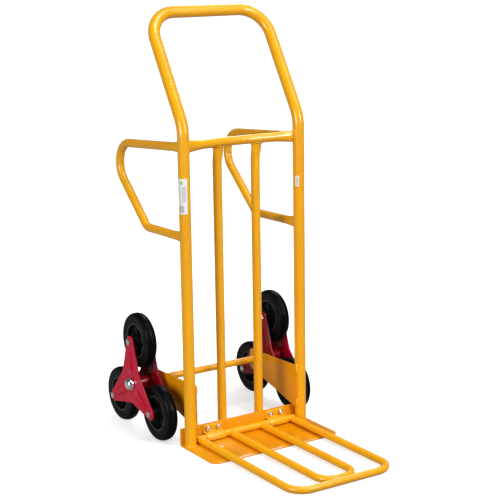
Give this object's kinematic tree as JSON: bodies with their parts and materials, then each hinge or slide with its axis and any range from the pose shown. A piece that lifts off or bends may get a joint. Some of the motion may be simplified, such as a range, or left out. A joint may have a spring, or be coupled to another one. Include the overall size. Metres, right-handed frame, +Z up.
{
  "type": "stair-climbing sack truck",
  "caption": "Stair-climbing sack truck with a bent tube handle, side handle loops, a folding toe frame over a toe plate and a three-wheel star on each end of the axle",
  "frame": {"origin": "On the floor, on the underside of the toe plate, midway between the two uprights and under their centre lines", "axes": "+Z up along the uprights, +X across the truck towards the right-hand side of the picture, -Y forwards to the load side"},
  "size_m": [0.545, 0.8674, 1.1909],
  "materials": {
    "frame_paint": "glossy yellow-orange powder coat",
    "star_paint": "glossy crimson paint on pressed steel",
    "zinc": "bright zinc plate",
    "chrome_cap": "polished chrome",
    "tyre": "satin black solid rubber",
    "rim": "moulded black plastic",
    "label": "printed white film label"
  },
  "bodies": {
    "frame": {"main_frame_tube": "frame_paint", "cross_tube": "frame_paint", "inner_tube_left": "frame_paint", "inner_tube_right": "frame_paint", "side_handle_left": "frame_paint", "side_handle_right": "frame_paint", "toe_plate": "frame_paint", "side_plate_left": "frame_paint", "side_plate_right": "frame_paint", "axle": "frame_paint", "axle_spacer_left": "frame_paint", "axle_spacer_right": "frame_paint", "axle_cap_left": "chrome_cap", "axle_cap_right": "chrome_cap", "hinge_saddle_left": "frame_paint", "hinge_saddle_right": "frame_paint", "hinge_bolt_left_inner": "zinc", "hinge_nut_left_inner": "zinc", "hinge_bolt_left_outer": "zinc", "hinge_nut_left_outer": "zinc", "hinge_bolt_right_inner": "zinc", "hinge_nut_right_inner": "zinc", "hinge_bolt_right_outer": "zinc", "hinge_nut_right_outer": "zinc", "label_left": "label", "label_right": "label"},
    "folding_toe": {"toe_hinge_bar": "frame_paint", "toe_outer_loop": "frame_paint", "toe_inner_loop": "frame_paint"},
    "star_left": {"star_plate_inner_left": "star_paint", "star_plate_outer_left": "star_paint", "star_hub_left": "star_paint", "wheel_bolt_left_top": "zinc", "wheel_nut_left_top": "zinc", "wheel_bolt_left_front": "zinc", "wheel_nut_left_front": "zinc", "wheel_bolt_left_rear": "zinc", "wheel_nut_left_rear": "zinc"},
    "star_right": {"star_plate_inner_right": "star_paint", "star_plate_outer_right": "star_paint", "star_hub_right": "star_paint", "wheel_bolt_right_top": "zinc", "wheel_nut_right_top": "zinc", "wheel_bolt_right_front": "zinc", "wheel_nut_right_front": "zinc", "wheel_bolt_right_rear": "zinc", "wheel_nut_right_rear": "zinc"},
    "wheel_left_top": {"tyre_left_top": "tyre", "rim_left_top": "rim"},
    "wheel_left_front": {"tyre_left_front": "tyre", "rim_left_front": "rim"},
    "wheel_left_rear": {"tyre_left_rear": "tyre", "rim_left_rear": "rim"},
    "wheel_right_top": {"tyre_right_top": "tyre", "rim_right_top": "rim"},
    "wheel_right_front": {"tyre_right_front": "tyre", "rim_right_front": "rim"},
    "wheel_right_rear": {"tyre_right_rear": "tyre", "rim_right_rear": "rim"}
  },
  "joints": [
    {"name": "toe_fold", "type": "hinge", "parent": "frame", "child": "folding_toe", "pos_m": [0, 0.0032, 0.0138], "axis": [-1, 0, 0], "range_deg": [0, 90]},
    {"name": "star_left_spin", "type": "hinge", "parent": "frame", "child": "star_left", "pos_m": [-0.224, 0.206, 0.14055], "axis": [1, 0, 0], "continuous": true},
    {"name": "star_right_spin", "type": "hinge", "parent": "frame", "child": "star_right", "pos_m": [0.224, 0.206, 0.14055], "axis": [1, 0, 0], "continuous": true},
    {"name": "wheel_left_top_spin", "type": "hinge", "parent": "star_left", "child": "wheel_left_top", "pos_m": [-0.224, 0.206, 0.26405], "axis": [1, 0, 0], "continuous": true},
    {"name": "wheel_left_front_spin", "type": "hinge", "parent": "star_left", "child": "wheel_left_front", "pos_m": [-0.224, 0.09905, 0.0788], "axis": [1, 0, 0], "continuous": true},
    {"name": "wheel_left_rear_spin", "type": "hinge", "parent": "star_left", "child": "wheel_left_rear", "pos_m": [-0.224, 0.31295, 0.0788], "axis": [1, 0, 0], "continuous": true},
    {"name": "wheel_right_top_spin", "type": "hinge", "parent": "star_right", "child": "wheel_right_top", "pos_m": [0.224, 0.206, 0.26405], "axis": [1, 0, 0], "continuous": true},
    {"name": "wheel_right_front_spin", "type": "hinge", "parent": "star_right", "child": "wheel_right_front", "pos_m": [0.224, 0.09905, 0.0788], "axis": [1, 0, 0], "continuous": true},
    {"name": "wheel_right_rear_spin", "type": "hinge", "parent": "star_right", "child": "wheel_right_rear", "pos_m": [0.224, 0.31295, 0.0788], "axis": [1, 0, 0], "continuous": true}
  ]
}
